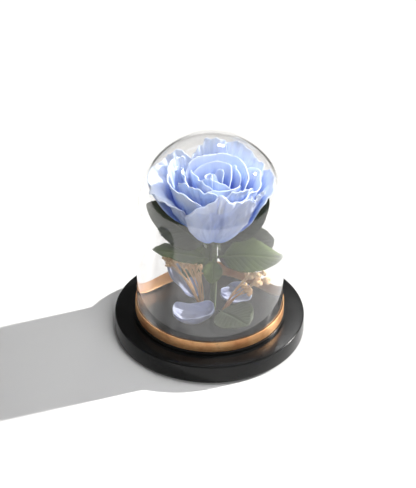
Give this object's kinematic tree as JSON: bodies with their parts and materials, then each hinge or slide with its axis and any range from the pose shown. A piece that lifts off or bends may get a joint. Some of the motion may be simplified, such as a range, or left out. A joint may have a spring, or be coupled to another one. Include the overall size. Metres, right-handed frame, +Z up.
{
  "type": "preserved rose in glass dome",
  "caption": "Preserved blue rose with leaves, dried filler sprigs and fallen petals, sealed under a round glass dome on a flat black base with a copper-coloured band.",
  "frame": {"origin": "centre of the underside of the base", "axes": "+Z up along the axis of the dome, the front of the piece looks to -Y, +X to its right"},
  "size_m": [0.11, 0.11, 0.132],
  "materials": {
    "black_base": "satin black lacquer",
    "copper_band": "brushed copper-coloured foil",
    "clear_glass": "clear polished",
    "blue_petal": "matt velvety preserved petal",
    "green_leaf": "satin preserved leaf",
    "green_stem": "matt stem",
    "dried_straw": "matt dried filler"
  },
  "bodies": {
    "root": {"base": "black_base", "gold_band": "copper_band", "glass_dome": "clear_glass", "stem": "green_stem", "heart_petal_1": "blue_petal", "heart_petal_2": "blue_petal", "heart_petal_3": "blue_petal", "inner_petal_1": "blue_petal", "inner_petal_2": "blue_petal", "inner_petal_3": "blue_petal", "cup_petal_1": "blue_petal", "cup_petal_2": "blue_petal", "cup_petal_3": "blue_petal", "middle_petal_1": "blue_petal", "middle_petal_2": "blue_petal", "middle_petal_3": "blue_petal", "middle_petal_4": "blue_petal", "middle_petal_5": "blue_petal", "middle_petal_6": "blue_petal", "middle_petal_7": "blue_petal", "outer_petal_1": "blue_petal", "outer_petal_2": "blue_petal", "outer_petal_3": "blue_petal", "outer_petal_4": "blue_petal", "outer_petal_5": "blue_petal", "outer_petal_6": "blue_petal", "outer_petal_7": "blue_petal", "fallen_petal_back": "blue_petal", "fallen_petal_front": "blue_petal", "fallen_petal_right": "blue_petal", "leaf_right_front": "green_leaf", "leaf_right_back": "green_leaf", "leaf_right_middle": "green_leaf", "leaf_left_back": "green_leaf", "leaf_left_front": "green_leaf", "leaf_small_front": "green_leaf", "leaf_small_left": "green_leaf", "fallen_leaf": "green_leaf", "dried_sprig_left": "dried_straw", "dried_sprig_right": "dried_straw"}
  },
  "joints": []
}
